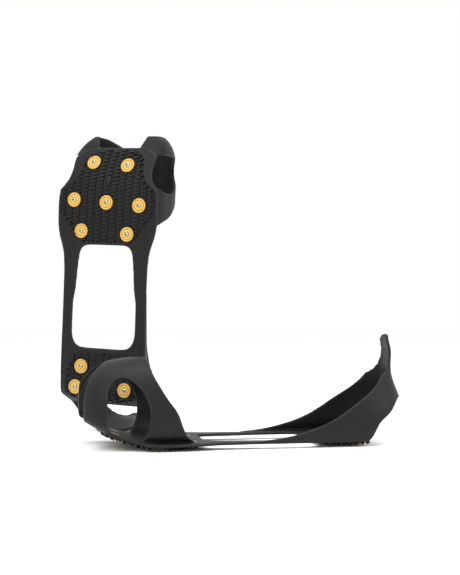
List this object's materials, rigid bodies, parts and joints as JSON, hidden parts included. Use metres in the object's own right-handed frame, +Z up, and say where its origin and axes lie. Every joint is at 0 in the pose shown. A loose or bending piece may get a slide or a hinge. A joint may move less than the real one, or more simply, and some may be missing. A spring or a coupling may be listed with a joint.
{
  "type": "shoe ice cleats",
  "caption": "Pair of stretch rubber overshoes with studded soles, toe cups with side windows, arch rails and heel bands; one flat, one standing on its heel with the sole out.",
  "frame": {"origin": "centre of the bounding box, on the floor under the pair", "axes": "+Z up; +X from the toe to the heel of the cleat that stands flat; +Y towards the cleat that stands on its heel"},
  "size_m": [0.3256, 0.2488, 0.3111],
  "materials": {
    "rubber": "satin black moulded rubber",
    "stud_disc": "satin golden yellow",
    "stud_pin": "plain turned steel"
  },
  "bodies": {
    "left_heel": {"left_heel_section": "rubber", "left_heel_front_stud_inner_disc": "stud_disc", "left_heel_front_stud_inner_pin": "stud_pin", "left_heel_front_stud_outer_disc": "stud_disc", "left_heel_front_stud_outer_pin": "stud_pin", "left_heel_rear_stud_inner_disc": "stud_disc", "left_heel_rear_stud_inner_pin": "stud_pin", "left_heel_rear_stud_outer_disc": "stud_disc", "left_heel_rear_stud_outer_pin": "stud_pin"},
    "left_forefoot": {"left_forefoot_section": "rubber", "left_toe_stud_inner_disc": "stud_disc", "left_toe_stud_inner_pin": "stud_pin", "left_toe_stud_outer_disc": "stud_disc", "left_toe_stud_outer_pin": "stud_pin", "left_ball_stud_inner_disc": "stud_disc", "left_ball_stud_inner_pin": "stud_pin", "left_ball_stud_middle_disc": "stud_disc", "left_ball_stud_middle_pin": "stud_pin", "left_ball_stud_outer_disc": "stud_disc", "left_ball_stud_outer_pin": "stud_pin", "left_waist_stud_inner_disc": "stud_disc", "left_waist_stud_inner_pin": "stud_pin", "left_waist_stud_outer_disc": "stud_disc", "left_waist_stud_outer_pin": "stud_pin"},
    "left_band": {"left_heel_band": "rubber"},
    "right_heel": {"right_heel_section": "rubber", "right_heel_front_stud_inner_disc": "stud_disc", "right_heel_front_stud_inner_pin": "stud_pin", "right_heel_front_stud_outer_disc": "stud_disc", "right_heel_front_stud_outer_pin": "stud_pin", "right_heel_rear_stud_inner_disc": "stud_disc", "right_heel_rear_stud_inner_pin": "stud_pin", "right_heel_rear_stud_outer_disc": "stud_disc", "right_heel_rear_stud_outer_pin": "stud_pin"},
    "right_forefoot": {"right_forefoot_section": "rubber", "right_toe_stud_inner_disc": "stud_disc", "right_toe_stud_inner_pin": "stud_pin", "right_toe_stud_outer_disc": "stud_disc", "right_toe_stud_outer_pin": "stud_pin", "right_ball_stud_inner_disc": "stud_disc", "right_ball_stud_inner_pin": "stud_pin", "right_ball_stud_middle_disc": "stud_disc", "right_ball_stud_middle_pin": "stud_pin", "right_ball_stud_outer_disc": "stud_disc", "right_ball_stud_outer_pin": "stud_pin", "right_waist_stud_inner_disc": "stud_disc", "right_waist_stud_inner_pin": "stud_pin", "right_waist_stud_outer_disc": "stud_disc", "right_waist_stud_outer_pin": "stud_pin"},
    "right_band": {"right_heel_band": "rubber"}
  },
  "joints": [
    {"name": "right_cleat_lift", "type": "slide", "parent": "left_heel", "child": "right_heel", "axis": [0, 0, 1], "range_m": [0, 0.15]},
    {"name": "left_sole_flex", "type": "hinge", "parent": "left_heel", "child": "left_forefoot", "pos_m": [-0.02214, -0.06692, 0.0072], "axis": [0, 1, 0], "range_deg": [0, 35], "stiffness_Nm_per_rad": 1.2},
    {"name": "left_heel_band_stretch", "type": "hinge", "parent": "left_heel", "child": "left_band", "pos_m": [0.13386, -0.06692, 0.02], "axis": [0, 1, 0], "range_deg": [0, 25], "stiffness_Nm_per_rad": 1},
    {"name": "right_sole_flex", "type": "hinge", "parent": "right_heel", "child": "right_forefoot", "pos_m": [-0.11463, 0.0329, 0.18418], "axis": [-0.8309, 0.5542, 0.0488], "range_deg": [0, 35], "stiffness_Nm_per_rad": 1.2},
    {"name": "right_heel_band_stretch", "type": "hinge", "parent": "right_heel", "child": "right_band", "pos_m": [-0.11242, 0.04992, 0.0286], "axis": [-0.8309, 0.5542, 0.0488], "range_deg": [0, 25], "stiffness_Nm_per_rad": 1}
  ]
}
